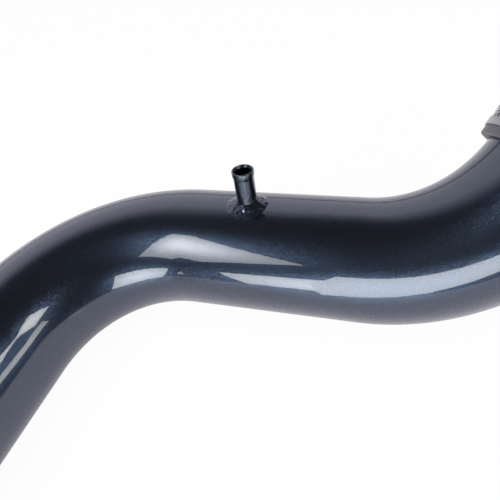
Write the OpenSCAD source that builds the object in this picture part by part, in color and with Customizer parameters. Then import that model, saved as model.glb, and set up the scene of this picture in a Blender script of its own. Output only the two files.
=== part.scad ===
// Cold air intake pipe: a mandrel bent tube with a welded breather nipple, and a silicone
// coupler held on its engine end by two worm drive hose clamps.
// The origin is the centre of the filter mouth. The first leg runs along +Y, the first bend
// lies flat, and the second bend lifts the engine end, which is how the pipe lies on a bench.

/* [Tube] */
// Outside diameter of the tube
tube_od = 63.5; // [40:0.5:100]
// Wall of the tube
tube_wall = 1.65; // [1.2:0.05:3]
// Centre line radius that both bends are drawn round
bend_r = 88.9; // [75:0.1:160]
// Straight leg at the filter end
leg_a = 125; // [60:1:250]
// Turn of the first bend
bend_a = 80; // [20:1:100]
// Straight leg between the bends
leg_mid = 88; // [60:1:200]
// Lift of the second bend's plane out of the first bend's plane
bend_b_rise = 52; // [20:1:80]
// Turn of the second bend
bend_b = 60; // [20:1:90]
// How much the mandrel draws the tube in round a bend
bend_draw = 0.12; // [0.1:0.01:0.3]
// Straight left bare between the second bend and the coupler
leg_bare = 1; // [0.5:0.5:40]
// Size of the deburring chamfers at the mouth
mouth_chamfer = 0.4; // [0.2:0.1:0.6]
// Height of the rolled bead that keeps the coupler on
bead_h = 1.5; // [0.8:0.1:2.5]
// Radius of the bead's round
bead_round = 2; // [1.5:0.1:3]

/* [Breather nipple] */
// Distance of the nipple from the end of the first bend
nipple_at = 31; // [16:1:60]
// Lean of the nipple from upright, towards the side that the engine end turns to
nipple_lean = 11; // [-40:1:60]
// Outside diameter of the nipple's shank
nipple_od = 9.5; // [6:0.1:14]
// Bore of the nipple
nipple_bore = 7.8; // [4:0.1:10]
// Height of the nipple over the tube
nipple_h = 19.4; // [14:0.1:40]
// Outside diameter of the lip that holds a hose
nipple_lip_od = 10.7; // [8:0.1:18]
// Length of the lip's straight land
nipple_land = 1.9; // [1:0.1:4]
// Length over which the shank opens out to the lip
nipple_bell = 3; // [1.5:0.1:6]
// Chamfer inside the mouth of the nipple
nipple_chamfer = 0.45; // [0.2:0.05:0.6]
// Gap round the nipple in the tube's drilled hole
nipple_play = 0.05; // [0.02:0.01:0.2]
// Radius of the weld's toe round the nipple
weld_r = 10.8; // [8:0.1:14]
// Height that the weld climbs the shank
weld_h = 3.4; // [2:0.1:6]
// Outward bulge of the weld's face
weld_bulge = 0.7; // [0.2:0.1:1.5]

/* [Coupler] */
// Length of the coupler
coupler_l = 76.2; // [50:0.1:120]
// Wall of the coupler
coupler_wall = 4.4; // [3:0.1:6]
// Length of tube inside the coupler
coupler_grip = 38.1; // [25:0.1:60]
// Gap between the tube and the coupler
coupler_play = 0.1; // [0.05:0.01:0.3]
// Chamfer on the coupler's edges
coupler_chamfer = 0.5; // [0.2:0.1:1]

/* [Hose clamps] */
// Distance from each coupler edge to its clamp
clamp_inset = 3.6; // [2:0.1:10]
// Place of the screw housings round the coupler
clamp_turn = 110; // [80:1:150]
// Width of the band
band_w = 12.7; // [10:0.1:16]
// Thickness of the band
band_t = 0.65; // [0.4:0.05:1]
// Length of band that stands out past the housing's middle
band_tail = 24; // [18:1:40]
// Radius of the corners at the band's free end
tail_corner = 2.5; // [0.5:0.1:4]
// Number of slots cut in the band
slot_count = 35; // [20:1:45]
// Spacing of the slots, which is the worm's pitch
slot_pitch = 3.175; // [2.5:0.005:4]
// Width of a slot as a share of the pitch
slot_share = 0.55; // [0.5:0.01:0.65]
// Length of a slot across the band
slot_l = 6.2; // [5:0.1:8]
// Gap between pressed pieces that touch, such as the band and the coupler
press_gap = 0.05; // [0.02:0.01:0.1]
// Thickness of the saddle
saddle_t = 0.8; // [0.5:0.05:1.2]
// Length of the saddle along the band
saddle_l = 11; // [9:0.5:13]
// Width of each saddle ear
ear_w = 2.6; // [1.5:0.1:3.5]
// Distance of the ears from the housing's middle
ear_at = 3.6; // [2.5:0.1:5]
// How far an ear stands out past the housing
ear_out = 0.8; // [0.4:0.1:1.5]
// Length of the housing
housing_l = 16; // [15:0.5:22]
// Sheet thickness of the housing
housing_t = 0.9; // [0.6:0.05:1.2]
// Gap between the housing and what moves or slides in it
housing_gap = 0.25; // [0.2:0.05:0.35]
// Radius of the hollow bend between the housing's dome and its shoulders
housing_fillet = 1; // [0.4:0.1:1.2]

/* [Worm screw] */
// Diameter over the worm thread
worm_d = 7.4; // [6:0.1:9]
// Depth of the worm thread
thread_depth = 0.9; // [0.6:0.05:1.1]
// Depth to which the thread dips into the band's slots
thread_bite = 0.4; // [0.2:0.05:0.6]
// Diameter of the neck between the thread and the head
neck_d = 4.8; // [4:0.1:5.2]
// Diameter of the tip that turns in the housing's end
tip_d = 3.6; // [2.5:0.1:4]
// Chamfer on the tip
tip_chamfer = 0.4; // [0.1:0.1:0.8]
// Radial clearance of the neck and the tip in the housing
journal_gap = 0.08; // [0.04:0.01:0.1]
// End float of the worm in the housing
end_float = 0.3; // [0.2:0.05:0.5]
// Size of the hexagon head across its flats
hex_af = 7; // [6:0.1:8]
// Height of the hexagon head
hex_h = 4.6; // [3.5:0.1:6]
// Height of the 30 degree chamfer on the head's corners
hex_chamfer = 0.5; // [0.2:0.1:0.8]
// Diameter of the collar under the head
collar_d = 7.8; // [7:0.1:8.4]
// Thickness of the collar
collar_t = 1; // [0.6:0.1:1.5]
// Width of the driver slot
driver_w = 1.2; // [0.8:0.1:1.6]
// Depth of the driver slot
driver_depth = 2.2; // [1.5:0.1:3]

/* [Hidden] */
paint = [0.11, 0.14, 0.2];
silicone = [0.3, 0.31, 0.34];
stainless = [0.74, 0.74, 0.75];
zinc = [0.66, 0.67, 0.69];

$fn = 96;
step_deg = 3;
past = 1;
lap = 0.5;

tube_r = tube_od / 2;
bore_r = tube_r - tube_wall;
leg_b = leg_bare + coupler_grip;
bead_ring = tube_r + bead_h - bead_round;
seat_round = bead_round + coupler_play + press_gap;
coupler_bore = tube_r + coupler_play;
coupler_r = coupler_bore + coupler_wall;
bead_back = sqrt(pow(seat_round, 2) - pow(coupler_bore - bead_ring, 2));

nipple_r = nipple_od / 2;
nipple_top = tube_r + nipple_h;
lip_r = nipple_lip_od / 2;
weld_inner = nipple_r + nipple_play;
weld_toe_drop = tube_r - sqrt(pow(tube_r, 2) - pow(weld_r, 2));

band_in = coupler_r + press_gap;
saddle_in = band_in + band_t + press_gap;
tail_in = saddle_in + saddle_t + 2 * press_gap;
tail_out = tail_in + band_t;
worm_r = worm_d / 2;
worm_at = tail_out - thread_bite + worm_r;
slot_w = slot_share * slot_pitch;
slot_step = slot_pitch / (tail_in + band_t / 2) * 180 / PI;
slot_lean = atan(slot_pitch / (PI * (worm_d - thread_depth)));
tail_deg = band_tail / tail_in * 180 / PI;
slots_on_tail = floor((tail_deg - slot_step) / slot_step);
housing_deg = asin(housing_l / 2 / tail_in);
head_end = -360 - housing_deg - slot_step;
ramp_deg = 40;
ramp_end = -housing_deg - step_deg;
ramp_start = ramp_end - ramp_deg;
inner_w = band_w + 2 * housing_gap;
dome_r = worm_r + housing_gap + press_gap;
shoulder_at = tail_out + housing_gap;
skirt_at = band_in - saddle_t - band_t;
bend_at = shoulder_at + housing_t + housing_fillet;
bend_side = sqrt(pow(dome_r + housing_t + housing_fillet, 2) - pow(worm_at - bend_at, 2));
dome_meet = atan2(bend_side, bend_at - worm_at);
worm_l = housing_l - 2 * housing_t - 2 * end_float;
crest_deg = 45;
flank_deg = 45;
collar_at = housing_l / 2 + end_float / 2;

// Places along the pipe: +Z runs on along the tube, and +X points to the bend's centre
module along_leg_a() {
    rotate([-90, 0, 0]) children();
}

module past_bend(turn) {
    translate([bend_r * (1 - cos(turn)), 0, bend_r * sin(turn)]) rotate([0, turn, 0]) children();
}

module along_leg_mid() {
    along_leg_a() translate([0, 0, leg_a]) past_bend(bend_a) children();
}

module at_bend_b() {
    along_leg_mid() translate([0, 0, leg_mid]) rotate([0, 0, bend_b_rise - 180]) children();
}

module along_leg_b() {
    at_bend_b() past_bend(bend_b) children();
}

module at_nipple() {
    along_leg_mid() translate([0, 0, nipple_at]) rotate([0, 0, 270 - nipple_lean])
        rotate([0, 90, 0]) children();
}

module at_coupler() {
    along_leg_b() translate([0, 0, leg_bare]) children();
}

// Each clamp has +X out through its screw housing, +Z along the coupler
module at_pipe_clamp() {
    at_coupler() translate([0, 0, clamp_inset + band_w / 2]) rotate([0, 0, clamp_turn]) children();
}

module at_engine_clamp() {
    at_coupler() translate([0, 0, coupler_l - clamp_inset - band_w / 2])
        rotate([0, 0, clamp_turn]) children();
}

// Tube
module bend_bar(r, turn) {
    translate([bend_r, 0, 0]) rotate([90, 0, 0]) rotate([0, 0, 180 - turn])
        rotate_extrude(angle = turn) translate([bend_r, 0]) circle(r = r);
}

// A solid bar along the whole centre line, longer by extra at both ends. Each leg laps into its bends
module path_bar(r, extra) {
    along_leg_a() translate([0, 0, -extra]) cylinder(h = leg_a + extra + lap, r = r);
    along_leg_a() translate([0, 0, leg_a]) bend_bar(r - bend_draw, bend_a);
    along_leg_mid() translate([0, 0, -lap]) cylinder(h = leg_mid + 2 * lap, r = r);
    at_bend_b() bend_bar(r - bend_draw, bend_b);
    along_leg_b() translate([0, 0, -lap]) cylinder(h = leg_b + extra + lap, r = r);
}

// What a deburring chamfer takes off the tube's two edges at z = 0
module deburr() {
    rotate_extrude() polygon([
        [tube_r - mouth_chamfer - past, -past],
        [tube_r + past, -past],
        [tube_r + past, mouth_chamfer + past]
    ]);
    rotate_extrude() polygon([
        [bore_r - past, -past],
        [bore_r + mouth_chamfer + past, -past],
        [bore_r - past, mouth_chamfer + past]
    ]);
}

module intake_tube() {
    color(paint) difference() {
        union() {
            path_bar(tube_r, 0);
            along_leg_b() translate([0, 0, leg_b - bead_back])
                rotate_extrude() translate([bead_ring, 0]) circle(r = bead_round);
        }
        path_bar(bore_r, past);
        along_leg_a() deburr();
        at_nipple() cylinder(h = tube_r + past, r = weld_inner);
    }
}

// Breather nipple: the shank opens out in two arcs to a land that holds the hose
module breather_nipple() {
    bell_base = nipple_top - nipple_land - nipple_bell;
    bell = [for (i = [0:8]) [
        nipple_r + (lip_r - nipple_r) * (1 - cos(22.5 * i)) / 2,
        bell_base + nipple_bell * i / 8
    ]];
    lip = [for (a = [0:15:90]) [
        lip_r - nipple_chamfer * (1 - cos(a)),
        nipple_top - nipple_chamfer * (1 - sin(a))
    ]];
    color(paint) at_nipple() rotate_extrude() polygon(concat(
        [[nipple_bore / 2, bore_r], [nipple_r, bore_r]],
        bell,
        lip,
        [[nipple_bore / 2 + nipple_chamfer, nipple_top], [nipple_bore / 2, nipple_top - nipple_chamfer]]
    ));
}

// Weld: a bulging ring that climbs the shank and dies out on the tube
module nipple_weld() {
    low = tube_r - weld_toe_drop - past;
    face = [for (i = [0:10]) [
        weld_inner + (weld_r - weld_inner) * i / 10 + weld_bulge * sin(18 * i),
        tube_r + weld_h - (weld_h + weld_toe_drop) * i / 10 + weld_bulge * sin(18 * i)
    ]];
    color(paint) difference() {
        at_nipple() rotate_extrude() polygon(concat([[weld_inner, low]], face, [[weld_r, low]]));
        along_leg_mid() cylinder(h = leg_mid, r = tube_r + press_gap);
    }
}

// Coupler: a straight silicone hose, with a seat that the tube's bead has pressed into it
module silicone_coupler() {
    profile = [
        [coupler_bore + coupler_chamfer, 0],
        [coupler_r - coupler_chamfer, 0],
        [coupler_r, coupler_chamfer],
        [coupler_r, coupler_l - coupler_chamfer],
        [coupler_r - coupler_chamfer, coupler_l],
        [coupler_bore + coupler_chamfer, coupler_l],
        [coupler_bore, coupler_l - coupler_chamfer],
        [coupler_bore, coupler_chamfer]
    ];
    color(silicone) at_coupler() difference() {
        rotate_extrude() polygon(profile);
        translate([0, 0, coupler_grip - bead_back])
            rotate_extrude() translate([bead_ring, 0]) circle(r = seat_round);
    }
}

// Radius of the band's inner face, from its head under the housing to its free tail
function band_ease(t) = t * t * (3 - 2 * t);
function band_r(a) = a < ramp_start ? band_in
    : a > ramp_end ? tail_in
    : band_in + (tail_in - band_in) * band_ease((a - ramp_start) / (ramp_end - ramp_start));

// What rounds off the two corners of the band's free end
module tail_corners() {
    rotate([0, 0, tail_deg]) for (side = [0, 1]) mirror([0, 0, side])
        translate([tail_in - saddle_t / 2, -tail_corner, band_w / 2 - tail_corner]) difference() {
            cube([saddle_t + band_t, tail_corner + past, tail_corner + past]);
            translate([-past, 0, 0]) rotate([0, 90, 0])
                cylinder(h = saddle_t + band_t + 2 * past, r = tail_corner);
        }
}

// Band: one strip that passes under and back over itself, slotted for the worm
module clamp_band() {
    turns = [for (a = [head_end:step_deg:tail_deg]) a];
    inner = [for (a = turns) band_r(a) * [cos(a), sin(a)]];
    outer = [for (i = [len(turns) - 1:-1:0])
        (band_r(turns[i]) + band_t) * [cos(turns[i]), sin(turns[i])]];
    color(stainless) difference() {
        translate([0, 0, -band_w / 2]) linear_extrude(height = band_w) polygon(concat(inner, outer));
        for (k = [0:slot_count - 1]) {
            a = (slots_on_tail - k) * slot_step;
            rotate([0, 0, a]) translate([band_r(a) + band_t / 2, 0, 0]) rotate([-slot_lean, 0, 0])
                cube([band_t + saddle_t, slot_w, slot_l], center = true);
        }
        tail_corners();
    }
}

// Saddle: a curved plate that carries the tail, with four ears that lock into the housing
module saddle_ears(play) {
    ear_turn = asin(ear_at / (saddle_in + saddle_t / 2));
    for (side = [-1, 1]) {
        rotate([0, 0, side * ear_turn]) translate([saddle_in + saddle_t / 2, 0, 0])
            cube([saddle_t + 2 * play, ear_w + 2 * play, inner_w + 2 * (housing_t + ear_out)],
                center = true);
    }
}

module clamp_saddle() {
    turn = saddle_l / saddle_in * 180 / PI;
    color(stainless) union() {
        rotate([0, 0, -turn / 2]) rotate_extrude(angle = turn)
            translate([saddle_in, -band_w / 2]) square([saddle_t, band_w]);
        saddle_ears(0);
    }
}

// Half of the housing's outline: skirt, shoulder, hollow bend and dome. The hollow bend has the
// same centre on both faces of the sheet, t outside the inner face
function housing_half(t) = concat(
    [[skirt_at, inner_w / 2 + t], [shoulder_at + t, inner_w / 2 + t]],
    [for (i = [0:4]) let (a = 180 + dome_meet * i / 4)
        [bend_at, bend_side] + (housing_fillet + housing_t - t) * [cos(a), sin(a)]],
    [for (i = [1:9]) let (a = dome_meet * (1 - i / 9)) [worm_at, 0] + (dome_r + t) * [cos(a), sin(a)]]
);

// Housing: a pressed cover with a dome over the worm, shoulders, skirts and two end walls
module housing_section(t) {
    half = housing_half(t);
    polygon(concat(half, [for (i = [len(half) - 2:-1:0]) [half[i][0], -half[i][1]]]));
}

module clamp_housing() {
    color(stainless) difference() {
        rotate([90, 0, 0]) linear_extrude(height = housing_l, center = true) housing_section(housing_t);
        rotate([90, 0, 0]) linear_extrude(height = housing_l - 2 * housing_t, center = true)
            housing_section(0);
        rotate([90, 0, 0]) linear_extrude(height = housing_l + 2 * past, center = true)
            translate([0, -inner_w / 2]) square([shoulder_at, inner_w]);
        translate([worm_at, 0, 0]) rotate([-90, 0, 0])
            cylinder(h = housing_l, d = neck_d + 2 * journal_gap);
        translate([worm_at, 0, 0]) rotate([90, 0, 0])
            cylinder(h = housing_l, d = tip_d + 2 * journal_gap);
        cylinder(h = inner_w + 4 * housing_t, r = coupler_r + 3 * press_gap, center = true);
        saddle_ears(2 * press_gap);
    }
}

// Hexagon head: a six sided bar with its top corners turned off at 30 degrees
module hex_head() {
    corner_r = hex_af / sqrt(3);
    top_r = corner_r - hex_chamfer * sqrt(3);
    intersection() {
        cylinder(h = hex_h, r = corner_r, $fn = 6);
        cylinder(h = hex_h, r1 = top_r + hex_h * sqrt(3), r2 = top_r);
    }
}

// Worm screw, with +Z out through its head: thread, journals, collar and slotted hexagon
module worm_thread() {
    section = [for (a = [-180:15:165])
        (worm_r - thread_depth * min(1, max(0, (abs(a) - crest_deg) / flank_deg))) * [cos(a), sin(a)]
    ];
    turns = worm_l / slot_pitch;
    slices = round(10 * turns);
    translate([0, 0, -worm_l / 2])
        linear_extrude(height = worm_l, twist = -360 * turns, slices = slices, segments = len(section))
            rotate([0, 0, 180 - 180 * turns]) polygon(section);
}

module clamp_screw() {
    color(zinc) translate([worm_at, 0, 0]) rotate([-90, 0, 0]) difference() {
        union() {
            worm_thread();
            translate([0, 0, worm_l / 2]) cylinder(h = collar_at - worm_l / 2, d = neck_d);
            translate([0, 0, tip_chamfer - housing_l / 2])
                cylinder(h = (housing_l - worm_l) / 2 - tip_chamfer, d = tip_d);
            translate([0, 0, -housing_l / 2])
                cylinder(h = tip_chamfer, d1 = tip_d - 2 * tip_chamfer, d2 = tip_d);
            translate([0, 0, collar_at]) cylinder(h = collar_t, d = collar_d);
            translate([0, 0, collar_at + collar_t]) hex_head();
        }
        translate([-hex_af, -driver_w / 2, collar_at + collar_t + hex_h - driver_depth])
            cube([2 * hex_af, driver_w, driver_depth + past]);
    }
}

intake_tube();
breather_nipple();
nipple_weld();
silicone_coupler();
at_pipe_clamp() clamp_band();  // pipe_clamp_band
at_pipe_clamp() clamp_saddle();  // pipe_clamp_saddle
at_pipe_clamp() clamp_housing();  // pipe_clamp_housing
at_pipe_clamp() clamp_screw();  // pipe_clamp_screw
at_engine_clamp() clamp_band();  // engine_clamp_band
at_engine_clamp() clamp_saddle();  // engine_clamp_saddle
at_engine_clamp() clamp_housing();  // engine_clamp_housing
at_engine_clamp() clamp_screw();  // engine_clamp_screw
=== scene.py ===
# %% [markdown]
# # Cold air intake pipe
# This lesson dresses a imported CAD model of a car's cold air intake pipe. The real object is a bent
# aluminium tube in midnight blue metallic paint, with a welded breather nipple, and a grey silicone
# coupler on its engine end with a worm drive clamp round each of its ends. The frame gives every
# piece its place.

# %% Load the frame
import math
import bmesh
import bpy
from mathutils import Matrix, Vector, noise


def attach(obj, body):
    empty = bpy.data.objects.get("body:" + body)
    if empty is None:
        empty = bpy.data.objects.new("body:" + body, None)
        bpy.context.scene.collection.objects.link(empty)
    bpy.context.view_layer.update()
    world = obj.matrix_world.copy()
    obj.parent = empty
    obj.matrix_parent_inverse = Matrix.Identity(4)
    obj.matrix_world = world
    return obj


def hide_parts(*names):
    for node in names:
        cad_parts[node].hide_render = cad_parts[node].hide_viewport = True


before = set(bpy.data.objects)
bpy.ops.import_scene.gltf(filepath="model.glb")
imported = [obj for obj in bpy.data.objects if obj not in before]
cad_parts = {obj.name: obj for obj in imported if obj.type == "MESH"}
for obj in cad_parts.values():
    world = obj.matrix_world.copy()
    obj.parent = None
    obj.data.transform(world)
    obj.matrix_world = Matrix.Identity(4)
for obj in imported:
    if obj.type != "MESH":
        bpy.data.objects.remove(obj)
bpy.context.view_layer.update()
print("CAD nodes:", sorted(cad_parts))

# %% [markdown]
# ## Camera
# The photograph looks down on the pipe as it lies on a white card, from about 20 cm above it.
# A camera can be placed by eye, but here its place was worked out from the tube's own outline, so
# that each edge of the render falls on the same edge of the photograph.

# %% Camera
MM = 0.001
TUBE_R = 31.75
eye = Vector((186.227774, 102.661765, 180.372622)) * MM
look = Vector((-0.370542, 0.498544, -0.783679)).normalized()
up = Vector((-0.221988, 0.771753, 0.595918)).normalized()
facing = Matrix((look.cross(up), up, -look)).transposed().to_4x4()
lens_data = bpy.data.cameras.new("camera")
lens_data.lens = 30.1135
lens_data.sensor_width = 36
lens_data.clip_start = 0.01
camera = bpy.data.objects.new("camera", lens_data)
bpy.context.scene.collection.objects.link(camera)
camera.matrix_world = Matrix.Translation(eye) @ facing
bpy.context.scene.camera = camera
print("camera height over the card: %.0f mm" % (eye.z / MM + TUBE_R))

# %% [markdown]
# ## Where things are
# A bent tube is described as its bender works: a straight length, a turn round a former, another
# straight length, and a roll of the tube before the next turn. Each step below moves one frame
# along the pipe, with +Z running on along the tube and +X pointing to the bend's centre. The sizes
# repeat those of the CAD model, in millimetres and degrees.

# %% Frames along the pipe
WALL, BEND_R = 1.65, 88.9
LEG_A, BEND_A, LEG_MID, RISE, BEND_B, LEG_B = 125, 80, 88, 52, 60, 39.1
NIPPLE_ALONG, NIPPLE_ROLL = 31, 259
COUPLER_START, CLAMP_ROLL = 1, 110
CLAMPS_ALONG = {"pipe_clamp": 9.95, "engine_clamp": 66.25}


def turned(axis, degrees):
    return Matrix.Rotation(math.radians(degrees), 4, axis)


def moved(x, y, z):
    return Matrix.Translation(Vector((x, y, z)) * MM)


def past_bend(degrees):
    a = math.radians(degrees)
    return moved(BEND_R * (1 - math.cos(a)), 0, BEND_R * math.sin(a)) @ turned("Y", degrees)


first_leg = turned("X", -90)
bend_a = first_leg @ moved(0, 0, LEG_A)
middle_leg = bend_a @ past_bend(BEND_A)
bend_b = middle_leg @ moved(0, 0, LEG_MID) @ turned("Z", RISE - 180)
last_leg = bend_b @ past_bend(BEND_B)
nipple_place = (middle_leg @ moved(0, 0, NIPPLE_ALONG) @ turned("Z", NIPPLE_ROLL)
                @ turned("Y", 90))
coupler_place = last_leg @ moved(0, 0, COUPLER_START)
clamp_places = {clamp: coupler_place @ moved(0, 0, along) @ turned("Z", CLAMP_ROLL)
                for clamp, along in CLAMPS_ALONG.items()}
pipe_end = (last_leg @ moved(0, 0, LEG_B)).translation
print("the pipe ends at", [round(v / MM, 1) for v in pipe_end])

# %% [markdown]
# ## Helpers
# Two helpers serve every material and every Geometry Nodes tree: one turns the sRGB hex value of a
# colour into the linear numbers that shaders use, and one adds a node with its settings and links.
# The Mix node has a pair of inputs for each kind of value under the same names, so its inputs and
# outputs go by number.

# %% Colour and node helpers
FACTOR, NUMBER_A, NUMBER_B, COLOUR_A, COLOUR_B = 0, 2, 3, 6, 7
MIXED_COLOUR = 2


def linear(code):
    """The linear RGBA of an sRGB hex value such as '#1C202B'."""
    parts = [int(code[i:i + 2], 16) / 255 for i in (1, 3, 5)]
    return [c / 12.92 if c <= 0.04045 else ((c + 0.055) / 1.055) ** 2.4 for c in parts] + [1]


def add(tree, kind, inputs=None, **settings):
    """Adds a node. An input, named or numbered, takes a value, a node or a node's output."""
    node = tree.nodes.new(kind)
    for key, value in settings.items():
        setattr(node, key, value)
    for key, value in (inputs or {}).items():
        if isinstance(value, bpy.types.Node):
            value = value.outputs[0]
        if isinstance(value, bpy.types.NodeSocket):
            tree.links.new(value, node.inputs[key])
        else:
            node.inputs[key].default_value = value
    return node


def new_material(name):
    """An empty material and its node tree."""
    material = bpy.data.materials.new(name)
    material.use_nodes = True
    material.node_tree.nodes.clear()
    return material, material.node_tree


print("mid grey #808080 is", round(linear("#808080")[0], 3), "in linear numbers")

# %% [markdown]
# ## Midnight blue metallic paint
# The tube, the nipple and the weld are sprayed together: a dark base with aluminium flakes, then a
# clear coat. The clear coat gives sharp reflections with slightly wavy edges (orange peel), and the
# flakes under it give a soft blue glow round each highlight. The photographed paint mirrors the
# card almost evenly out to its outline, so the coat has a high IOR and half the weight. Real flakes
# are about 0.05 mm across. They are drawn at 0.28 mm, because finer ones would vanish.

# %% Paint
paint, tree = new_material("midnight_blue_metallic_paint")
place = add(tree, "ShaderNodeTexCoord").outputs["Object"]
flakes = add(tree, "ShaderNodeTexVoronoi", {"Vector": place, "Scale": 1 / (0.28 * MM)})
tilt = add(tree, "ShaderNodeVectorMath", {
    0: flakes.outputs["Color"], 1: (0.5, 0.5, 0.5)}, operation="SUBTRACT")
spread = add(tree, "ShaderNodeVectorMath", {0: tilt, "Scale": 0.17}, operation="SCALE")
surface = add(tree, "ShaderNodeNewGeometry").outputs["Normal"]
flake_normal = add(tree, "ShaderNodeVectorMath", {0: surface, 1: spread}, operation="ADD")
flake_facing = add(tree, "ShaderNodeVectorMath", {0: flake_normal}, operation="NORMALIZE")
flake_share = add(tree, "ShaderNodeSeparateColor", {0: flakes.outputs["Color"]})
flake_tint = add(tree, "ShaderNodeMix", {
    FACTOR: flake_share, COLOUR_A: linear("#263142"), COLOUR_B: linear("#374459")},
    data_type="RGBA")
peel = add(tree, "ShaderNodeTexNoise", {"Vector": place, "Scale": 1 / (4.5 * MM), "Detail": 2.0})
peel_bump = add(tree, "ShaderNodeBump", {
    "Height": peel, "Strength": 0.5, "Distance": 0.03 * MM})
shader = add(tree, "ShaderNodeBsdfPrincipled", {
    "Base Color": flake_tint.outputs[MIXED_COLOUR], "Metallic": 1.0, "Roughness": 0.28,
    "Normal": flake_facing, "Coat Weight": 0.55, "Coat Roughness": 0.03, "Coat IOR": 2.0,
    "Coat Normal": peel_bump})
add(tree, "ShaderNodeOutputMaterial", {"Surface": shader})
print("paint nodes:", len(tree.nodes))

# %% [markdown]
# ## Bare aluminium
# The paint ends at the tube's mouth. Inside, the drawn tube keeps its mill finish: bright, with a
# fine satin grain and cloudy patches of dull grey oxide. One coarse noise gives the patches, and
# one fine noise gives both the grain and the change of roughness.

# %% Bare aluminium
mill, tree = new_material("mill_finish_aluminium")
place = add(tree, "ShaderNodeTexCoord").outputs["Object"]
cloud = add(tree, "ShaderNodeTexNoise", {"Vector": place, "Scale": 1 / (6 * MM), "Detail": 4.0})
fine = add(tree, "ShaderNodeTexNoise", {"Vector": place, "Scale": 1 / (0.5 * MM), "Detail": 2.0})
oxide = add(tree, "ShaderNodeMix", {
    FACTOR: cloud, COLOUR_A: linear("#B4B6B9"), COLOUR_B: linear("#D2D3D5")}, data_type="RGBA")
dull = add(tree, "ShaderNodeMapRange", {"Value": fine, "To Min": 0.34, "To Max": 0.52})
grain = add(tree, "ShaderNodeBump", {"Height": fine, "Strength": 0.3, "Distance": 0.02 * MM})
shader = add(tree, "ShaderNodeBsdfPrincipled", {
    "Base Color": oxide.outputs[MIXED_COLOUR], "Metallic": 1.0, "Roughness": dull,
    "Normal": grain})
add(tree, "ShaderNodeOutputMaterial", {"Surface": shader})
print("bare aluminium nodes:", len(tree.nodes))

# %% [markdown]
# ## Grey silicone
# The coupler is layers of polyester cloth in cured silicone, rolled on a bar and wrapped in tape
# while it cures. It is satin, not shiny: a soft wide sheen, a faint print of the wrapping tape
# round it, and fine speckle. The tape's print repeats each 1.6 mm, so a sine along the outline
# draws it.

# %% Silicone
silicone, tree = new_material("satin_grey_silicone")
lay = add(tree, "ShaderNodeUVMap", uv_map="lay")
place = add(tree, "ShaderNodeTexCoord").outputs["Object"]
along_lay = add(tree, "ShaderNodeSeparateXYZ", {0: lay.outputs[0]}).outputs["Y"]
wraps = add(tree, "ShaderNodeMath", {
    0: along_lay, 1: 2 * math.pi / (1.6 * MM)}, operation="MULTIPLY")
tape = add(tree, "ShaderNodeMath", {0: wraps}, operation="SINE")
speckle = add(tree, "ShaderNodeTexNoise", {
    "Vector": place, "Scale": 1 / (0.7 * MM), "Detail": 3.0})
stain = add(tree, "ShaderNodeTexNoise", {"Vector": place, "Scale": 1 / (14 * MM), "Detail": 2.0})
tone = add(tree, "ShaderNodeMix", {
    FACTOR: stain, COLOUR_A: linear("#53525C"), COLOUR_B: linear("#62616C")}, data_type="RGBA")
relief = add(tree, "ShaderNodeMath", {0: tape, 1: 0.25, 2: speckle}, operation="MULTIPLY_ADD")
skin = add(tree, "ShaderNodeBump", {"Height": relief, "Strength": 0.5, "Distance": 0.03 * MM})
matt = add(tree, "ShaderNodeMapRange", {"Value": speckle, "To Min": 0.42, "To Max": 0.60})
shader = add(tree, "ShaderNodeBsdfPrincipled", {
    "Base Color": tone.outputs[MIXED_COLOUR], "Roughness": matt, "Normal": skin, "IOR": 1.43,
    "Sheen Weight": 0.12, "Sheen Roughness": 0.4})
add(tree, "ShaderNodeOutputMaterial", {"Surface": shader})
print("silicone nodes:", len(tree.nodes))

# %% [markdown]
# ## Stainless strip
# Clamp bands are slit from rolled stainless strip, so their grain runs along the band. The "lay" UV
# map has its first coordinate along the strip in metres and its second across it, and noise that is
# stretched along the first gives the rolling lines.

# %% Stainless strip
strip, tree = new_material("rolled_stainless_strip")
lay = add(tree, "ShaderNodeUVMap", uv_map="lay")
drawn = add(tree, "ShaderNodeMapping", {
    "Vector": lay, "Scale": (1 / (9 * MM), 1 / (0.12 * MM), 1)})
lines = add(tree, "ShaderNodeTexNoise", {"Vector": drawn, "Scale": 1.0, "Detail": 3.0})
place = add(tree, "ShaderNodeTexCoord").outputs["Object"]
cloud = add(tree, "ShaderNodeTexNoise", {"Vector": place, "Scale": 1 / (5 * MM), "Detail": 2.0})
tone = add(tree, "ShaderNodeMix", {
    FACTOR: cloud, COLOUR_A: linear("#A0A1A5"), COLOUR_B: linear("#B9BABD")}, data_type="RGBA")
rough = add(tree, "ShaderNodeMapRange", {"Value": lines, "To Min": 0.24, "To Max": 0.42})
grain = add(tree, "ShaderNodeBump", {"Height": lines, "Strength": 0.35, "Distance": 0.008 * MM})
shader = add(tree, "ShaderNodeBsdfPrincipled", {
    "Base Color": tone.outputs[MIXED_COLOUR], "Metallic": 1.0, "Roughness": rough,
    "Normal": grain, "Anisotropic": 0.4})
add(tree, "ShaderNodeOutputMaterial", {"Surface": shader})
print("stainless strip nodes:", len(tree.nodes))

# %% [markdown]
# ## Pressed stainless
# The housings and saddles are pressed from the same steel and then tumbled, which takes the grain
# off and leaves a soft shine with small random marks.

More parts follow.
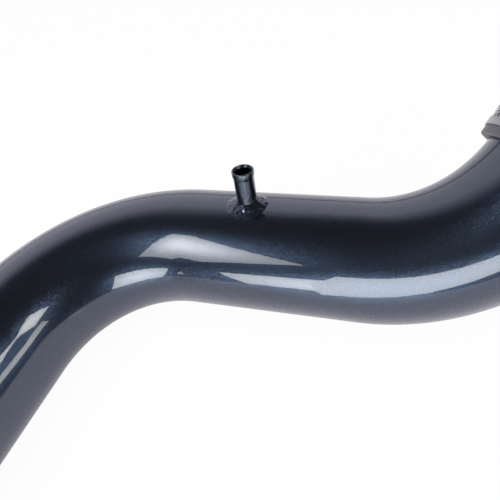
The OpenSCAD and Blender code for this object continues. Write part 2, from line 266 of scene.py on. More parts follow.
# %% Pressed stainless
pressed, tree = new_material("tumbled_stainless")
place = add(tree, "ShaderNodeTexCoord").outputs["Object"]
scuffs = add(tree, "ShaderNodeTexNoise", {"Vector": place, "Scale": 1 / (0.6 * MM), "Detail": 4.0})
cloud = add(tree, "ShaderNodeTexNoise", {"Vector": place, "Scale": 1 / (4 * MM), "Detail": 2.0})
tone = add(tree, "ShaderNodeMix", {
    FACTOR: cloud, COLOUR_A: linear("#B6B7BA"), COLOUR_B: linear("#D3D3D4")}, data_type="RGBA")
rough = add(tree, "ShaderNodeMapRange", {"Value": scuffs, "To Min": 0.2, "To Max": 0.36})
dents = add(tree, "ShaderNodeBump", {"Height": scuffs, "Strength": 0.3, "Distance": 0.012 * MM})
shader = add(tree, "ShaderNodeBsdfPrincipled", {
    "Base Color": tone.outputs[MIXED_COLOUR], "Metallic": 1.0, "Roughness": rough,
    "Normal": dents})
add(tree, "ShaderNodeOutputMaterial", {"Surface": shader})
print("pressed stainless nodes:", len(tree.nodes))

# %% [markdown]
# ## Zinc plated steel
# The worm screws are cold headed, rolled and then zinc plated with a clear blue passivation. Zinc
# grows in small grains, so its brightness and roughness change from grain to grain.

# %% Zinc plate
zinc, tree = new_material("clear_zinc_plate")
place = add(tree, "ShaderNodeTexCoord").outputs["Object"]
grains = add(tree, "ShaderNodeTexVoronoi", {"Vector": place, "Scale": 1 / (0.35 * MM)})
bright = add(tree, "ShaderNodeSeparateColor", {0: grains.outputs["Color"]})
tone = add(tree, "ShaderNodeMix", {
    FACTOR: bright, COLOUR_A: linear("#AEB3BA"), COLOUR_B: linear("#C9CCCF")}, data_type="RGBA")
rough = add(tree, "ShaderNodeMapRange", {"Value": bright, "To Min": 0.24, "To Max": 0.36})
shader = add(tree, "ShaderNodeBsdfPrincipled", {
    "Base Color": tone.outputs[MIXED_COLOUR], "Metallic": 1.0, "Roughness": rough})
add(tree, "ShaderNodeOutputMaterial", {"Surface": shader})
print("zinc plate nodes:", len(tree.nodes))

# %% [markdown]
# ## Meshes and Geometry Nodes
# A piece starts as a bmesh or as a Geometry Nodes tree. A tree gets one named input for each size,
# and a modifier sets an input by its socket's identifier.

# %% Mesh helpers


def new_piece(name, mesh, materials):
    """Turns a bmesh into an object with its materials."""
    data = bpy.data.meshes.new(name)
    mesh.to_mesh(data)
    mesh.free()
    for material in materials:
        data.materials.append(material)
    piece = bpy.data.objects.new(name, data)
    bpy.context.scene.collection.objects.link(piece)
    return piece


def new_geometry_tree(name, **sockets):
    """A Geometry Nodes tree with named inputs. A socket's label is its name with spaces."""
    tree = bpy.data.node_groups.new(name, "GeometryNodeTree")
    ports = tree.interface
    ports.new_socket("Geometry", in_out="INPUT", socket_type="NodeSocketGeometry")
    for label, kind in sockets.items():
        ports.new_socket(label.replace("_", " "), in_out="INPUT", socket_type="NodeSocket" + kind)
    ports.new_socket("Geometry", in_out="OUTPUT", socket_type="NodeSocketGeometry")
    return tree, add(tree, "NodeGroupInput").outputs


def use_tree(piece, tree, values):
    """Adds the tree as a modifier and sets its inputs by identifier."""
    modifier = piece.modifiers.new(tree.name, "NODES")
    modifier.node_group = tree
    for item in tree.interface.items_tree:
        if item.in_out == "INPUT" and item.name in values:
            modifier[item.identifier] = values[item.name]


def settle(piece, smooth_to=35):
    """Turns the piece and its modifiers into a plain mesh, smooth up to an angle."""
    shown = piece.evaluated_get(bpy.context.evaluated_depsgraph_get())
    data = bpy.data.meshes.new_from_object(shown)
    piece.modifiers.clear()
    piece.data = data
    data.shade_smooth()
    data.set_sharp_from_angle(angle=math.radians(smooth_to))
    print(piece.name, "has", sum(len(p.vertices) - 2 for p in data.polygons), "triangles")


# %% [markdown]
# ## The bent tube
# A mandrel bender keeps the tube round through its bends, so the whole tube is one circle swept
# along its centre line. Curve to Mesh does that, and its Scale input takes a rule for the radius:
# the tube's own, and a half round bead near the engine end that keeps the coupler from slipping
# off. The line has most points where the bead is. Solidify then adds the wall inwards, Bevel rounds
# the cut ends, and a Boolean drills the hole for the nipple.

# %% Centre line
BEAD_H, BEAD_ROUND, BEAD_FROM_END = 1.5, 2, 2.065
near_bead = [34.8 + 0.15 * i for i in range(1, 29)]
points = [(first_leg @ moved(0, 0, z)).translation for z in range(0, LEG_A, 5)]
points += [(bend_a @ past_bend(a)).translation for a in range(0, BEND_A, 2)]
points += [(middle_leg @ moved(0, 0, z)).translation for z in range(0, LEG_MID, 2)]
points += [(bend_b @ past_bend(a)).translation for a in range(0, BEND_B, 2)]
points += [(last_leg @ moved(0, 0, z)).translation
           for z in [0, 8, 16, 24, 32, 34] + near_bead + [LEG_B]]
line = bmesh.new()
stations = [line.verts.new(p) for p in points]
for a, b in zip(stations, stations[1:]):
    line.edges.new((a, b))
line_length = sum((b.co - a.co).length for a, b in zip(stations, stations[1:]))
tube = new_piece("painted_tube", line, [])
print("centre line: %d points, %.1f mm long" % (len(points), line_length / MM))

# %% Tube tree
tree, sizes = new_geometry_tree(
    "mandrel_bent_tube", Radius="Float", Bead_Place="Float", Bead_Height="Float",
    Bead_Round="Float", Sides="Int", Paint="Material")
path = add(tree, "GeometryNodeMeshToCurve", {0: sizes["Geometry"]})
along = add(tree, "GeometryNodeSplineParameter").outputs["Length"]
off = add(tree, "ShaderNodeMath", {0: along, 1: sizes["Bead Place"]}, operation="SUBTRACT")
off_2 = add(tree, "ShaderNodeMath", {0: off, 1: off}, operation="MULTIPLY")
round_2 = add(tree, "ShaderNodeMath", {
    0: sizes["Bead Round"], 1: sizes["Bead Round"]}, operation="MULTIPLY")
left = add(tree, "ShaderNodeMath", {0: round_2, 1: off_2}, operation="SUBTRACT")
rise_2 = add(tree, "ShaderNodeMath", {0: left, 1: 0.0}, operation="MAXIMUM")
rise = add(tree, "ShaderNodeMath", {0: rise_2}, operation="SQRT")
crest = add(tree, "ShaderNodeMath", {
    0: sizes["Radius"], 1: sizes["Bead Height"]}, operation="ADD")
root = add(tree, "ShaderNodeMath", {0: crest, 1: sizes["Bead Round"]}, operation="SUBTRACT")
bead = add(tree, "ShaderNodeMath", {0: root, 1: rise}, operation="ADD")
radius = add(tree, "ShaderNodeMath", {0: bead, 1: sizes["Radius"]}, operation="MAXIMUM")
share = add(tree, "ShaderNodeMath", {0: radius, 1: sizes["Radius"]}, operation="DIVIDE")
circle = add(tree, "GeometryNodeCurvePrimitiveCircle", {
    "Resolution": sizes["Sides"], "Radius": sizes["Radius"]})
swept = add(tree, "GeometryNodeCurveToMesh", {
    "Curve": path, "Profile Curve": circle, "Scale": share})
real = add(tree, "GeometryNodeRealizeInstances", {0: swept})
painted = add(tree, "GeometryNodeSetMaterial", {"Geometry": real, "Material": sizes["Paint"]})
add(tree, "NodeGroupOutput", {0: painted})
use_tree(tube, tree, {
    "Radius": TUBE_R * MM, "Bead Place": line_length - BEAD_FROM_END * MM,
    "Bead Height": BEAD_H * MM, "Bead Round": BEAD_ROUND * MM, "Sides": 144, "Paint": paint})
settle(tube)

# %% Wall, rounded ends and drilled hole
HOLE_R, DRILL_L = 4.8, 20
wall = tube.modifiers.new("wall", "SOLIDIFY")
wall.thickness, wall.offset, wall.use_even_offset = WALL * MM, -1, True
wall.material_offset = 1
edge = tube.modifiers.new("deburred ends", "BEVEL")
edge.width, edge.segments = 0.35 * MM, 3
edge.limit_method, edge.angle_limit = "ANGLE", math.radians(60)
drill_mesh = bmesh.new()
bmesh.ops.create_cone(
    drill_mesh, cap_ends=True, segments=64, radius1=HOLE_R * MM, radius2=HOLE_R * MM,
    depth=DRILL_L * MM, matrix=nipple_place @ moved(0, 0, 31))
drill = new_piece("drill", drill_mesh, [])
hole = tube.modifiers.new("drilled hole", "BOOLEAN")
hole.operation, hole.solver, hole.object = "DIFFERENCE", "EXACT", drill
tube.data.materials.append(mill)
settle(tube, 40)
bpy.data.objects.remove(drill)
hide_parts("intake_tube")
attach(tube, "pipe")

# %% [markdown]
# ## Turned pieces
# The nipple and the coupler are round, so each is one closed outline turned round its axis, as a
# lathe works. A Screw modifier could do it, but here the UV map is written at the same time: its
# first coordinate runs round the piece and its second along the outline, both in metres.

# %% Lathe


def arc(centre, radius, start, end, steps):
    """Points on an arc, as (radius, height) pairs."""
    angles = [math.radians(start + (end - start) * i / steps) for i in range(steps + 1)]
    return [(centre[0] + radius * math.cos(a), centre[1] + radius * math.sin(a)) for a in angles]


def lathe(name, outline, place, material, sides=96):
    """Turns a closed outline of (radius, height) points, in mm, round the place's Z."""
    mesh = bmesh.new()
    uv = mesh.loops.layers.uv.new("lay")
    angles = [2 * math.pi * j / sides for j in range(sides)]
    rings = [[mesh.verts.new(place @ (Vector((r * math.cos(a), r * math.sin(a), z)) * MM))
              for a in angles] for r, z in outline]
    run = 0.0
    for i, ring in enumerate(rings):
        k = (i + 1) % len(rings)
        after = rings[k]
        end = run + math.dist(outline[i], outline[k])
        width = 2 * math.pi * outline[i][0] / sides
        for j in range(sides):
            m = (j + 1) % sides
            face = mesh.faces.new((ring[j], ring[m], after[m], after[j]))
            corners = ((j, run), (j + 1, run), (j + 1, end), (j, end))
            for loop, (u, v) in zip(face.loops, corners):
                loop[uv].uv = (u * width * MM, v * MM)
        run = end
    bmesh.ops.recalc_face_normals(mesh, faces=mesh.faces)
    return new_piece(name, mesh, [material])


# %% [markdown]
# ## Breather nipple
# A short turned stub goes through the drilled hole. Its mouth opens out in two soft arcs to a lip
# that keeps a rubber hose on. Heights are from the tube's centre line. Paint has rounded every edge
# a little.

# %% Breather nipple
BORE_R, FIT_R, SHANK_R, LIP_R = 3.9, 4.75, 4.95, 5.35
FOOT, FLARE_START, FLARE_L = 30.1, 46.9, 2.4
flare = [(SHANK_R + 0.4 * (1 - math.cos(math.pi * i / 12)) / 2, FLARE_START + FLARE_L * i / 12)
         for i in range(13)]
lip = arc((LIP_R - 0.45, 50.70), 0.45, 0, 180, 10)
outline = ([(BORE_R, FOOT), (FIT_R, FOOT), (FIT_R, 32.5), (SHANK_R, 33.5), (SHANK_R, 40)]
           + flare + [(LIP_R, 50.0)] + lip + [(4.0, 50.2), (BORE_R, 49.6)])
nipple = lathe("nipple", outline, nipple_place, paint)
settle(nipple, 50)
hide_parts("breather_nipple")
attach(nipple, "pipe")

# %% [markdown]
# ## Weld bead
# The nipple is TIG welded by hand: the bead climbs the shank and dies out on the tube, with soft
# lumps where the filler froze, and a toe that wanders. It is a grid of rings that follows the
# tube's round surface, with noise for the lumps and the toe, and a weak sine for the ripples.

# %% Weld bead
TURNS, STEPS = 220, 20
ROOT_R, UNDER_R, TOE_R, TOE_WANDER = 4.9, 4.72, 10.9, 0.9
CLIMB, CLIMB_WANDER, SWELL, LUMPS, RIPPLE = 3.0, 0.7, 0.55, 0.42, 0.05


def skin_height(y):
    """How high the tube's skin is over its centre line, at a distance to the side."""
    return math.sqrt(TUBE_R ** 2 - y ** 2)


mesh = bmesh.new()
rings = []
for j in range(TURNS):
    a = 2 * math.pi * j / TURNS
    c, s = math.cos(a), math.sin(a)
    toe = TOE_R + TOE_WANDER * noise.noise(Vector((1.6 * c, 1.6 * s, 5)))
    climb = CLIMB + CLIMB_WANDER * noise.noise(Vector((1.3 * c, 1.3 * s, 9)))
    ring = []
    for i in range(STEPS + 1):
        t = i / STEPS
        r = ROOT_R + (toe - ROOT_R) * t
        lumps = (noise.noise(Vector((r * c, r * s, 2)) / 2.4)
                 + 0.5 * noise.noise(Vector((r * c, r * s, 7)) / 1.1))
        ripple = RIPPLE * math.sin(17 * a + 3 * t)
        swell = (SWELL + LUMPS * lumps + ripple) * math.sin(math.pi * t) ** 0.8
        ring.append((r * c, r * s, skin_height(r * s) - 0.05 + climb * (1 - t) ** 2 + swell))
    for r in (toe - 0.5, UNDER_R):
        ring.append((r * c, r * s, skin_height(r * s) - 0.6))
    rings.append([mesh.verts.new(nipple_place @ (Vector(p) * MM)) for p in ring])
for ring, after in zip(rings, rings[1:] + rings[:1]):
    for i in range(len(ring)):
        k = (i + 1) % len(ring)
        mesh.faces.new((ring[i], after[i], after[k], ring[k]))
bmesh.ops.recalc_face_normals(mesh, faces=mesh.faces)
weld = new_piece("weld_bead", mesh, [paint])
settle(weld, 60)
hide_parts("nipple_weld")
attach(weld, "pipe")

# %% [markdown]
# ## Silicone coupler
# A straight hose with 4.4 mm of wall, cut square and buffed at its edges. Inside, the tube's bead
# has pressed a round seat into it, so the outline goes round the bead too, 0.15 mm clear of it.

# %% Silicone coupler
COUPLER_IN, COUPLER_OUT, COUPLER_L, BUFF = 31.85, 36.25, 76.2, 0.5
SEAT_R, SEAT_CENTRE = BEAD_ROUND + 0.15, TUBE_R + BEAD_H - BEAD_ROUND
seat_place = LEG_B - BEAD_FROM_END - COUPLER_START
seat = [(SEAT_CENTRE + math.sqrt(SEAT_R ** 2 - d * d), seat_place + d)
        for d in (2.0, 1.6, 0.8, 0, -0.8, -1.6, -2.0)]
inner, outer, top = COUPLER_IN + BUFF, COUPLER_OUT - BUFF, COUPLER_L - BUFF
outline = (arc((inner, BUFF), BUFF, 180, 270, 4) + arc((outer, BUFF), BUFF, 270, 360, 4)
           + [(COUPLER_OUT, z) for z in range(5, 75, 5)]
           + arc((outer, top), BUFF, 0, 90, 4) + arc((inner, top), BUFF, 90, 180, 4) + seat)
coupler = lathe("coupler", outline, coupler_place, silicone, 144)
settle(coupler, 50)
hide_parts("silicone_coupler")
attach(coupler, "pipe")

# %% [markdown]
# ## Slotted clamp bands
# A band is one strip: it starts under the housing, goes once round, climbs over its own start and
# leaves the housing as a free tail, with a row of leaning slots for the worm. The rule is simple,
# so Geometry Nodes make it. A flat grid has nine columns to a slot's pitch, five of them are
# deleted in the middle of the strip for each slot, and Set Position rolls the grid up: its X
# becomes an angle, and the radius eases from the inner to the outer turn.

# %% Band sizes
BAND_W, BAND_T, SLOT_L, SLOTS, SLOT_PITCH, COLUMNS = 12.7, 0.65, 6.2, 35, 3.175, 9
BAND_IN, TAIL_IN, HALF_HOUSING, WORM_MEAN_R = 36.30, 37.90, 8, 3.25
STEP = math.degrees(SLOT_PITCH / (TAIL_IN + BAND_T / 2))
FIRST_SLOT = 6 * STEP
TAIL_END = FIRST_SLOT + 14.5 * STEP / COLUMNS
HOUSING = math.degrees(math.asin(HALF_HOUSING / TAIL_IN))
RAMP_END = -HOUSING - 3
RAMP_START = RAMP_END - 40
CELLS = round((TAIL_END + 360 + HOUSING + STEP) / (STEP / COLUMNS))
print("the strip turns through %.0f degrees in %d columns" % (CELLS * STEP / COLUMNS, CELLS))

# %% [markdown]
# The band's rule is many small sums, so they stand in two tables. Each row makes one Math node: its
# name, its operation, and its inputs, which are numbers or the names of sizes and earlier rows. The
# first table finds a point's angle, its slot, and how far to the side the strip's rounded corners
# let it lie.

# %% Band tree: where a point is
tree, sizes = new_geometry_tree(
    "slotted_band", Columns="Int", Step="Float", Tail_End="Float", First_Slot="Float",
    Slots="Float", Width="Float", Slot_Length="Float", Lean="Float", Inner="Float",
    Outer="Float", Ramp_Start="Float", Ramp_End="Float", Corner="Float", Steel="Material")
spot = add(tree, "ShaderNodeSeparateXYZ", {0: add(tree, "GeometryNodeInputPosition")}).outputs
known = {output.name: output for output in (*sizes, *spot)}
for name, operation, *values in (
        ("corners", "ADD", "Columns", 1.0),
        ("half width", "MULTIPLY", "Width", 0.5),
        ("quarter width", "MULTIPLY", "Width", 0.25),
        ("half slot", "MULTIPLY", "Slot Length", 0.5),
        ("from tail", "SUBTRACT", 0.5, "X"),
        ("column", "MULTIPLY", "from tail", "Columns"),
        ("column step", "DIVIDE", "Step", float(COLUMNS)),
        ("turned back", "MULTIPLY", "column", "column step"),
        ("angle", "SUBTRACT", "Tail End", "turned back"),
        ("past first", "SUBTRACT", "First Slot", "angle"),
        ("slots past", "DIVIDE", "past first", "Step"),
        ("slot", "ADD", "slots past", 0.5),
        ("place in slot", "FRACT", "slot"),
        ("in slot", "COMPARE", "place in slot", 0.5, 2.5 / COLUMNS),
        ("row begun", "GREATER_THAN", "slot", 0.0),
        ("row goes on", "LESS_THAN", "slot", "Slots"),
        ("in row", "MULTIPLY", "row begun", "row goes on"),
        ("off middle", "ABSOLUTE", "Y"),
        ("in middle", "LESS_THAN", "off middle", "quarter width"),
        ("in slot and row", "MULTIPLY", "in slot", "in row"),
        ("in hole", "MULTIPLY", "in slot and row", "in middle"),
        ("cut", "GREATER_THAN", "in hole", 0.5),
        ("grid row", "DIVIDE", "off middle", "quarter width"),
        ("at slot's end", "COMPARE", "grid row", 1.0, 0.2),
        ("past last", "SUBTRACT", "slot", "Slots"),
        ("from tail end", "SUBTRACT", "Tail End", "angle"),
        ("in radians", "MULTIPLY", "from tail end", math.pi / 180),
        ("length left", "MULTIPLY", "in radians", "Outer"),
        ("into corner", "SUBTRACT", "Corner", "length left"),
        ("inside", "MAXIMUM", "into corner", 0.0),
        ("inside 2", "MULTIPLY", "inside", "inside"),
        ("corner 2", "MULTIPLY", "Corner", "Corner"),
        ("curve 2", "SUBTRACT", "corner 2", "inside 2"),
        ("curve", "SQRT", "curve 2"),
        ("corner's centre", "SUBTRACT", "half width", "Corner"),
        ("limit", "ADD", "corner's centre", "curve")):
    values = [known[v] if isinstance(v, str) else v for v in values]
    known[name] = add(tree, "ShaderNodeMath", dict(enumerate(values)), operation=operation)
print("nodes of the first table:", len(tree.nodes))

# %% [markdown]
# Four rules aren't sums. A slot's ends lie where its length says, not where the grid's rows do. The
# slots' lean grows before the first slot and fades after the last one. The radius climbs from the
# inner turn to the outer one.

# %% Band tree: slot ends, lean and climb
known["distance"] = add(tree, "GeometryNodeSwitch", {
    "Switch": known["at slot's end"], "False": known["off middle"], "True": known["half slot"]},
    input_type="FLOAT")
known["lean begins"] = add(tree, "ShaderNodeMapRange", {
    "Value": known["slot"], "From Min": -1.0, "From Max": 0.0, "To Min": 0.0, "To Max": 1.0})
known["lean ends"] = add(tree, "ShaderNodeMapRange", {
    "Value": known["past last"], "From Min": 0.0, "From Max": 1.0, "To Min": 1.0, "To Max": 0.0})
known["radius"] = add(tree, "ShaderNodeMapRange", {
    "Value": known["angle"], "From Min": sizes["Ramp Start"], "From Max": sizes["Ramp End"],
    "To Min": sizes["Inner"], "To Max": sizes["Outer"]}, interpolation_type="SMOOTHSTEP")
print("nodes with these four:", len(tree.nodes))

# %% [markdown]
# The second table gives each point its new place: inside the rounded corners, sheared as the worm's
# thread leans, and rolled up round the clamp's axis. The grid is cut and marked with its UV map
# first, and then its points move there.

# %% Band tree: rolled up
for name, operation, *values in (
        ("kept in", "MINIMUM", "distance", "limit"),
        ("side", "SIGN", "Y"),
        ("across", "MULTIPLY", "kept in", "side"),
        ("other end", "MULTIPLY", "half slot", -1.0),
        ("below", "MINIMUM", "across", "half slot"),
        ("held", "MAXIMUM", "below", "other end"),
        ("full lean", "MULTIPLY", "held", "Lean"),
        ("lean share", "MULTIPLY", "lean begins", "lean ends"),
        ("shear", "MULTIPLY", "full lean", "lean share"),
        ("shear angle", "DIVIDE", "shear", "radius"),
        ("plain angle", "RADIANS", "angle"),
        ("rolled", "ADD", "plain angle", "shear angle"),
        ("cosine", "COSINE", "rolled"),
        ("sine", "SINE", "rolled"),
        ("x", "MULTIPLY", "radius", "cosine"),
        ("y", "MULTIPLY", "radius", "sine"),
        ("along", "MULTIPLY", "plain angle", "Outer")):
    values = [known[v] if isinstance(v, str) else v for v in values]
    known[name] = add(tree, "ShaderNodeMath", dict(enumerate(values)), operation=operation)

grid = add(tree, "GeometryNodeMeshGrid", {
    "Size X": 1.0, "Size Y": sizes["Width"], "Vertices X": known["corners"], "Vertices Y": 5})
slotted = add(tree, "GeometryNodeDeleteGeometry", {
    "Geometry": grid, "Selection": known["cut"]}, domain="FACE")
lay = add(tree, "ShaderNodeCombineXYZ", {"X": known["along"], "Y": known["across"]})
marked = add(tree, "GeometryNodeStoreNamedAttribute", {
    "Geometry": slotted, "Name": "lay", "Value": lay}, data_type="FLOAT2", domain="CORNER")
target = add(tree, "ShaderNodeCombineXYZ", {
    "X": known["x"], "Y": known["y"], "Z": known["across"]})
shaped = add(tree, "GeometryNodeSetPosition", {"Geometry": marked, "Position": target})
real = add(tree, "GeometryNodeRealizeInstances", {0: shaped})
steel = add(tree, "GeometryNodeSetMaterial", {"Geometry": real, "Material": sizes["Steel"]})
add(tree, "NodeGroupOutput", {0: steel})
band_tree = tree
print("nodes of the whole band tree:", len(tree.nodes))

# %% Both bands
for clamp, place in clamp_places.items():
    band = new_piece(clamp + "_strip", bmesh.new(), [])
    use_tree(band, band_tree, {
        "Columns": CELLS, "Step": STEP, "Tail End": TAIL_END, "First Slot": FIRST_SLOT,
        "Slots": float(SLOTS), "Width": BAND_W * MM, "Slot Length": SLOT_L * MM,
        "Lean": SLOT_PITCH / (2 * math.pi * WORM_MEAN_R),
        "Inner": (BAND_IN + BAND_T / 2) * MM, "Outer": (TAIL_IN + BAND_T / 2) * MM,
        "Ramp Start": RAMP_START, "Ramp End": RAMP_END, "Corner": 2.5 * MM, "Steel": strip})
    sheet = band.modifiers.new("strip thickness", "SOLIDIFY")
    sheet.thickness, sheet.offset = BAND_T * MM, 0
    edge = band.modifiers.new("rolled edge", "BEVEL")
    edge.width, edge.segments = 0.13 * MM, 2
    edge.limit_method, edge.angle_limit = "ANGLE", math.radians(50)
    settle(band)
    band.data.transform(place)
    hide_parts(clamp + "_band")
    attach(band, "pipe")

# %% [markdown]
# ## Saddles and housings
# Both are pressed sheet, and their CAD shapes are right. Only their edges are too sharp, so each is
# a merged copy of its CAD mesh with a small Bevel, which catches the light as a pressed edge does.

# %% Saddles and housings
for clamp in clamp_places:
    for part, width in (("saddle", 0.12), ("housing", 0.2)):
        mesh = bmesh.new()
        mesh.from_mesh(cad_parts[clamp + "_" + part].data)
        bmesh.ops.remove_doubles(mesh, verts=mesh.verts, dist=0.002 * MM)
        bmesh.ops.dissolve_limit(
            mesh, angle_limit=math.radians(0.5), verts=mesh.verts, edges=mesh.edges)
        piece = new_piece(clamp + "_pressed_" + part, mesh, [pressed])
        edge = piece.modifiers.new("pressed edge", "BEVEL")
        edge.width, edge.segments = width * MM, 2
        edge.limit_method, edge.angle_limit = "ANGLE", math.radians(40)
        settle(piece, 40)
        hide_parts(clamp + "_" + part)
        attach(piece, "pipe")

# %% [markdown]
# ## Worm screws
# A worm screw is a stack of rings: a chamfered tip, a rolled thread with soft crests, a neck, a
# collar, and a hexagon head whose top corners are turned off. Each ring has its own rule for its
# radius at an angle, and a Boolean cuts the driver slot.

# %% Worm screw rings
WORM_R, THREAD_DEPTH, WORM_L, WORM_OUT, HALF_HEX = 3.7, 0.9, 13.6, 41.85, 3.5
THREAD_RINGS, SCREW_SIDES, SLOT_FLOOR, SLOT_W = 86, 72, 11.55, 1.2


def threaded(z):
    """The worm's rule: a crest 80 degrees wide, flanks of 55 degrees, and a fade at both ends."""
    def rule(a):
        off = abs((math.degrees(a) - 180 - 360 * z / SLOT_PITCH + 180) % 360 - 180)
        t = min(1, max(0, (off - 40) / 55))
        ends = min(1, (WORM_L / 2 - abs(z)) / 0.5)
        return WORM_R - THREAD_DEPTH * max(t * t * (3 - 2 * t), 1 - ends)
    return rule


def hexed(most):
    """A hexagon whose corners are turned off to a radius."""
    return lambda a: min(HALF_HEX / math.cos(a % (math.pi / 3) - math.pi / 6), most)


def plain(r):
    return lambda a: r


rings = [(-8, plain(1.2)), (-8, plain(1.5)), (-7.7, plain(1.8)), (-6.8, plain(1.8))]
rings += [(z, threaded(z)) for z in
          [-WORM_L / 2 + WORM_L * i / THREAD_RINGS for i in range(THREAD_RINGS + 1)]]
rings += [(6.8, plain(2.4)), (8.15, plain(2.4)), (8.15, plain(3.7)), (8.25, plain(3.9)),
          (9.05, plain(3.9)), (9.15, plain(3.8)), (9.15, hexed(9)), (13.1, hexed(9)),
          (13.35, hexed(3.85)), (13.75, hexed(3.3)), (13.75, plain(2.0))]
print("a screw is", len(rings), "rings")

# %% Both screws
for clamp, place in clamp_places.items():
    screw_place = place @ moved(WORM_OUT, 0, 0) @ turned("X", -90)
    mesh = bmesh.new()
    angles = [2 * math.pi * j / SCREW_SIDES for j in range(SCREW_SIDES)]
    loops = [[mesh.verts.new(screw_place @ (
        Vector((rule(a) * math.cos(a), rule(a) * math.sin(a), z)) * MM)) for a in angles]
        for z, rule in rings]
    for loop, after in zip(loops, loops[1:]):
        for j in range(SCREW_SIDES):
            k = (j + 1) % SCREW_SIDES
            mesh.faces.new((loop[j], loop[k], after[k], after[j]))
    mesh.faces.new(loops[0][::-1])
    mesh.faces.new(loops[-1])
    bmesh.ops.recalc_face_normals(mesh, faces=mesh.faces)
    screw = new_piece(clamp + "_worm_screw", mesh, [zinc])
    cutter_mesh = bmesh.new()
    bmesh.ops.create_cube(
        cutter_mesh, size=1, matrix=screw_place @ moved(0, 0, SLOT_FLOOR + 5)
        @ Matrix.Diagonal((14 * MM, SLOT_W * MM, 10 * MM, 1)))
    cutter = new_piece("cutter", cutter_mesh, [])
    slot = screw.modifiers.new("driver slot", "BOOLEAN")
    slot.operation, slot.solver, slot.object = "DIFFERENCE", "EXACT", cutter
    settle(screw, 30)
    bpy.data.objects.remove(cutter)
    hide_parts(clamp + "_screw")
    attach(screw, clamp + "_worm")

# %% [markdown]
# ## White card and backdrop
# The pipe lies on a white card. The photograph's background is plain white, so the card shows white
# to the camera, with a small share of really lit white that keeps a faint shadow on it. Reflections
# see a weaker and slightly violet white. The card ends a little in front of the pipe, where the
# tube reflects the dark room.

# %% White card
CAMERA_SHARE, MIRROR_SHARE = 0.965, 0.45
card_mesh = bmesh.new()
corners = [(-2.2, -0.04), (2.2, -0.04), (2.2, 2.4), (-2.2, 2.4)]
card_mesh.faces.new([card_mesh.verts.new((x, y, -TUBE_R * MM)) for x, y in corners])
white, tree = new_material("white_card")
rays = add(tree, "ShaderNodeLightPath").outputs
mirrored = add(tree, "ShaderNodeMath", {
    0: rays["Is Glossy Ray"], 1: rays["Is Transmission Ray"]}, operation="ADD", use_clamp=True)
direct = add(tree, "ShaderNodeMath", {
    0: rays["Is Camera Ray"], 1: CAMERA_SHARE}, operation="MULTIPLY")
part = add(tree, "ShaderNodeMath", {
    0: mirrored, 1: MIRROR_SHARE, 2: direct}, operation="MULTIPLY_ADD")
lit = add(tree, "ShaderNodeBsdfDiffuse", {"Color": linear("#EFEDF4")})
tint = add(tree, "ShaderNodeMix", {
    FACTOR: direct, COLOUR_A: (0.97, 0.93, 1, 1), COLOUR_B: (1, 1, 1, 1)}, data_type="RGBA")
glow = add(tree, "ShaderNodeEmission", {"Color": tint.outputs[MIXED_COLOUR], "Strength": 1.0})
shown = add(tree, "ShaderNodeMixShader", {0: part, 1: lit, 2: glow})
add(tree, "ShaderNodeOutputMaterial", {"Surface": shown})
card = new_piece("white_card", card_mesh, [white])
print("the card lies at z = %.2f mm" % -TUBE_R)

# %% [markdown]
# ## Room light
# The world shows white to the camera. For reflections it is a dark room with one bright backdrop
# behind the card, and for soft light it is a weak grey. The backdrop fades out upwards and to its
# sides, by the height and the bearing of each mirrored ray.

# %% World
world = bpy.data.worlds.new("room")
bpy.context.scene.world = world
world.use_nodes = True
tree = world.node_tree
tree.nodes.clear()
way = add(tree, "ShaderNodeTexCoord").outputs["Generated"]
height = add(tree, "ShaderNodeSeparateXYZ", {0: way}).outputs["Z"]
bearing = add(tree, "ShaderNodeVectorMath", {
    0: way, 1: (-0.766, 0.643, 0)}, operation="DOT_PRODUCT").outputs["Value"]
low = add(tree, "ShaderNodeMapRange", {
    "Value": height, "From Min": 0.02, "From Max": 0.045, "To Min": 0.0, "To Max": 1.0})
high = add(tree, "ShaderNodeMapRange", {
    "Value": height, "From Min": 0.62, "From Max": 0.86, "To Min": 1.0, "To Max": 0.04})
wide = add(tree, "ShaderNodeMapRange", {
    "Value": bearing, "From Min": 0.35, "From Max": 0.62, "To Min": 0.0, "To Max": 1.0})
tall = add(tree, "ShaderNodeMath", {0: low, 1: high}, operation="MULTIPLY")
sweep = add(tree, "ShaderNodeMath", {0: tall, 1: wide}, operation="MULTIPLY")
mirrored = add(tree, "ShaderNodeMath", {0: sweep, 1: 0.92, 2: 0.1}, operation="MULTIPLY_ADD")
rays = add(tree, "ShaderNodeLightPath").outputs
soft = add(tree, "ShaderNodeMix", {
    FACTOR: rays["Is Glossy Ray"], NUMBER_A: 0.25, NUMBER_B: mirrored})
clear = add(tree, "ShaderNodeMath", {
    0: rays["Is Camera Ray"], 1: rays["Is Transmission Ray"]}, operation="ADD", use_clamp=True)
level = add(tree, "ShaderNodeMix", {FACTOR: clear, NUMBER_A: soft, NUMBER_B: 1.0})
tint = add(tree, "ShaderNodeMix", {
    FACTOR: clear, COLOUR_A: (0.97, 0.94, 1, 1), COLOUR_B: (1, 1, 1, 1)}, data_type="RGBA")
background = add(tree, "ShaderNodeBackground", {
    "Color": tint.outputs[MIXED_COLOUR], "Strength": level})
add(tree, "ShaderNodeOutputWorld", {"Surface": background})
print("world nodes:", len(tree.nodes))

# %% [markdown]
# ## Softboxes
# The highlights on the tube are the mirror images of softboxes, so each softbox stands where the
# tube's own shape sends the reflection. A high one and a low one stand behind the camera, and two
# narrow ones to the right show on the first leg. Each place was found by following mirrored rays
# from the tube back into the room. A wide silk overhead gives the soft light, and reflections
# don't show it.

# %% Softboxes
LAMP_COLOUR = (1, 0.98, 0.92)


def aimed(azimuth, elevation, roll):
    """A turn whose Z axis points to an azimuth (0 is +Y, 90 is +X) and an elevation."""
    return turned("Z", -azimuth) @ turned("X", elevation - 90) @ turned("Z", -roll)


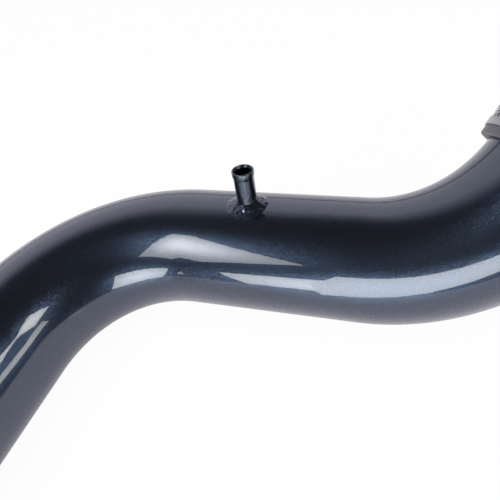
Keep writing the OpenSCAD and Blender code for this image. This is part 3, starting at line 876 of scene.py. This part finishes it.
def softbox(name, azimuth, elevation, roll, distance, width, height, radiance,
            centre=(0.5, 0.5), hot=1.2, edge=0.8):
    """An area light that stands off from the tube's middle in a direction, in degrees and mm.

    It fades from hot at its centre, in shares of its width and height, to edge at its rim.
    """
    data = bpy.data.lights.new(name, "AREA")
    data.shape, data.size, data.size_y = "RECTANGLE", width * MM, height * MM
    data.energy = radiance * 4 * data.size * data.size_y
    data.color = LAMP_COLOUR
    data.use_nodes = True
    tree = data.node_tree
    tree.nodes.clear()
    share = add(tree, "ShaderNodeNewGeometry").outputs["Parametric"]
    spot = add(tree, "ShaderNodeVectorMath", {0: share, 1: (*centre, 0)}, operation="DISTANCE")
    fade = add(tree, "ShaderNodeMapRange", {
        "Value": spot.outputs["Value"], "From Min": 0.0, "From Max": 0.7, "To Min": hot,
        "To Max": edge}, interpolation_type="SMOOTHSTEP")
    glow = add(tree, "ShaderNodeEmission", {"Strength": fade})
    add(tree, "ShaderNodeOutputLight", {"Surface": glow})
    lamp = bpy.data.objects.new(name, data)
    bpy.context.scene.collection.objects.link(lamp)
    lamp.matrix_world = moved(80, 200, 20) @ aimed(azimuth, elevation, roll) @ moved(0, 0, distance)
    lamp.visible_camera = False
    return lamp


softbox("high_softbox", 205.5, 42.3, 35.4, 1549, 1153, 569, 4.9, (0.7, 0.5), 1.6, 0.5)
softbox("low_softbox", 169.6, -1, -16.3, 1083, 672, 470, 5.0)
softbox("side_softbox_high", 104, 40.1, 34.3, 712, 188, 206, 5.2)
softbox("side_softbox_low", 92, 16.3, 16.6, 417, 297, 76, 3)
overhead = softbox("overhead_silk", 0, 90, 0, 1500, 1500, 1500, 1.6)
overhead.visible_glossy = False

# %% [markdown]
# ## Light card
# The second bend mirrors one more light, which the first bend doesn't see. It is a small lit card
# close to the pipe, with its back to the first bend, so it lights from its front only. It hides the
# low softbox behind it, and only mirrored rays meet it: it lights nothing else and throws no
# shadow. One corner is cut off, where it would show in the first bend.

# %% Light card
card_light, tree = new_material("light_card")
front = add(tree, "ShaderNodeEmission", {"Color": (*LAMP_COLOUR, 1), "Strength": 5.4})
back = add(tree, "ShaderNodeBsdfTransparent")
is_back = add(tree, "ShaderNodeNewGeometry").outputs["Backfacing"]
one_sided = add(tree, "ShaderNodeMixShader", {0: is_back, 1: front, 2: back})
add(tree, "ShaderNodeOutputMaterial", {"Surface": one_sided})
card_light.cycles.emission_sampling = "NONE"
mesh = bmesh.new()
at = moved(249.3, 95.8, 33.2) @ aimed(17.6, -41.1, 21.1)
corners = [(-103.5, -20), (-84, -49.7), (103.5, -49.7), (103.5, 49.7), (-103.5, 49.7)]
mesh.faces.new([mesh.verts.new(at @ (Vector((x, y, 0)) * MM)) for x, y in corners])
light_card = new_piece("light_card", mesh, [card_light])
light_card.visible_camera = light_card.visible_diffuse = light_card.visible_shadow = False
light_card.visible_transmission = light_card.visible_volume_scatter = False
print("the light card has", len(corners), "corners")

# %% [markdown]
# ## Finish
# The view stays plain: the Standard view transform with no exposure change.

# %% Finish
bpy.context.scene.view_settings.view_transform = "Standard"
